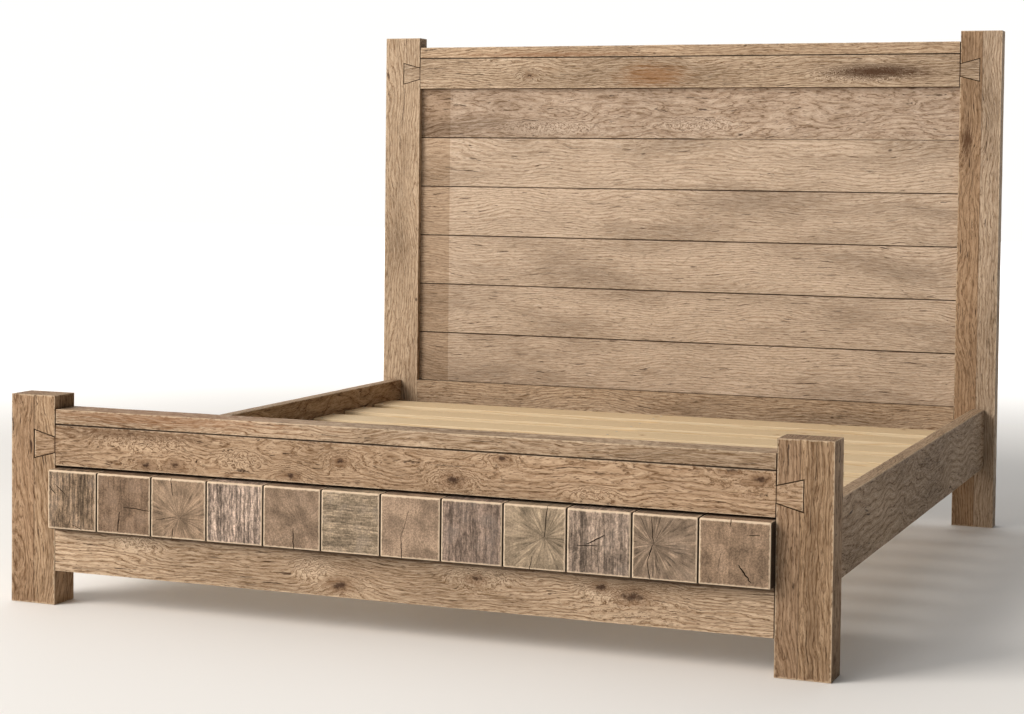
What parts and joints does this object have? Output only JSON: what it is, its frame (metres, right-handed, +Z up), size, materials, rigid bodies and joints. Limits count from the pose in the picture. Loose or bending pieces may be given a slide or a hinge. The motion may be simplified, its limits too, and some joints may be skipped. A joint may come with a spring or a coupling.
{
  "type": "wooden bed frame",
  "caption": "Rustic timber bed frame: planked headboard and low footboard with dovetailed rails, a row of proud end-grain blocks, side rails, slats and a centre beam on levelling legs.",
  "frame": {"origin": "on the floor, at the centre of the frame's outline seen from above", "axes": "+Z up; +Y from the footboard to the headboard; +X to the right of someone who stands at the footboard and looks at the headboard"},
  "size_m": [2.0828, 2.269, 1.537],
  "materials": {
    "posts": "wire-brushed, waxed oak, grain upright",
    "rails": "wire-brushed, waxed oak, grain along the board",
    "end_grain": "sawn end grain, weathered, with checks and saw marks",
    "planks": "lightly brushed plain-sawn oak, waxed",
    "plain_wood": "planed softwood, unfinished",
    "hook_steel": "pressed steel, zinc plated",
    "levelling_steel": "turned and threaded steel, zinc plated",
    "pad_plastic": "moulded black nylon"
  },
  "bodies": {
    "frame": {"foot_left_post": "posts", "foot_right_post": "posts", "head_left_post": "posts", "head_right_post": "posts", "foot_cap_board": "rails", "foot_top_rail": "rails", "foot_bottom_rail": "rails", "head_cap_board": "rails", "head_top_rail": "rails", "head_lower_rail": "rails", "left_side_rail": "rails", "right_side_rail": "rails", "end_grain_block_01": "end_grain", "end_grain_block_02": "end_grain", "end_grain_block_03": "end_grain", "end_grain_block_04": "end_grain", "end_grain_block_05": "end_grain", "end_grain_block_06": "end_grain", "end_grain_block_07": "end_grain", "end_grain_block_08": "end_grain", "end_grain_block_09": "end_grain", "end_grain_block_10": "end_grain", "end_grain_block_11": "end_grain", "end_grain_block_12": "end_grain", "head_plank_1": "planks", "head_plank_2": "planks", "head_plank_3": "planks", "head_plank_4": "planks", "head_plank_5": "planks", "head_plank_6": "planks", "foot_backing_board": "plain_wood", "head_batten": "plain_wood", "left_ledger": "plain_wood", "right_ledger": "plain_wood", "centre_beam": "plain_wood", "centre_leg_1": "plain_wood", "centre_leg_2": "plain_wood", "slat_1": "plain_wood", "slat_2": "plain_wood", "slat_3": "plain_wood", "slat_4": "plain_wood", "slat_5": "plain_wood", "slat_6": "plain_wood", "slat_7": "plain_wood", "slat_8": "plain_wood", "slat_9": "plain_wood", "foot_left_slotted_plate": "hook_steel", "foot_left_hook_plate": "hook_steel", "foot_right_slotted_plate": "hook_steel", "foot_right_hook_plate": "hook_steel", "head_left_slotted_plate": "hook_steel", "head_left_hook_plate": "hook_steel", "head_right_slotted_plate": "hook_steel", "head_right_hook_plate": "hook_steel", "leg_nut_1": "levelling_steel", "leg_nut_2": "levelling_steel"},
    "stem_1": {"levelling_stem_1": "levelling_steel"},
    "stem_2": {"levelling_stem_2": "levelling_steel"},
    "pad_1": {"levelling_pad_1": "pad_plastic"},
    "pad_2": {"levelling_pad_2": "pad_plastic"}
  },
  "joints": [
    {"name": "pad_1_travel", "type": "slide", "parent": "frame", "child": "pad_1", "axis": [0, 0, 1], "range_m": [-0.012, 0]},
    {"name": "stem_1_turn", "type": "hinge", "parent": "pad_1", "child": "stem_1", "pos_m": [0, -0.3185, 0.0123], "axis": [0, 0, 1], "range_deg": [-2880, 0]},
    {"name": "pad_2_travel", "type": "slide", "parent": "frame", "child": "pad_2", "axis": [0, 0, 1], "range_m": [-0.012, 0]},
    {"name": "stem_2_turn", "type": "hinge", "parent": "pad_2", "child": "stem_2", "pos_m": [0, 0.3795, 0.0123], "axis": [0, 0, 1], "range_deg": [-2880, 0]}
  ],
  "couplings": [
    {"joint": "stem_1_turn", "follows": "pad_1_travel", "rad_per_m": 4188.8},
    {"joint": "stem_2_turn", "follows": "pad_2_travel", "rad_per_m": 4188.8}
  ]
}
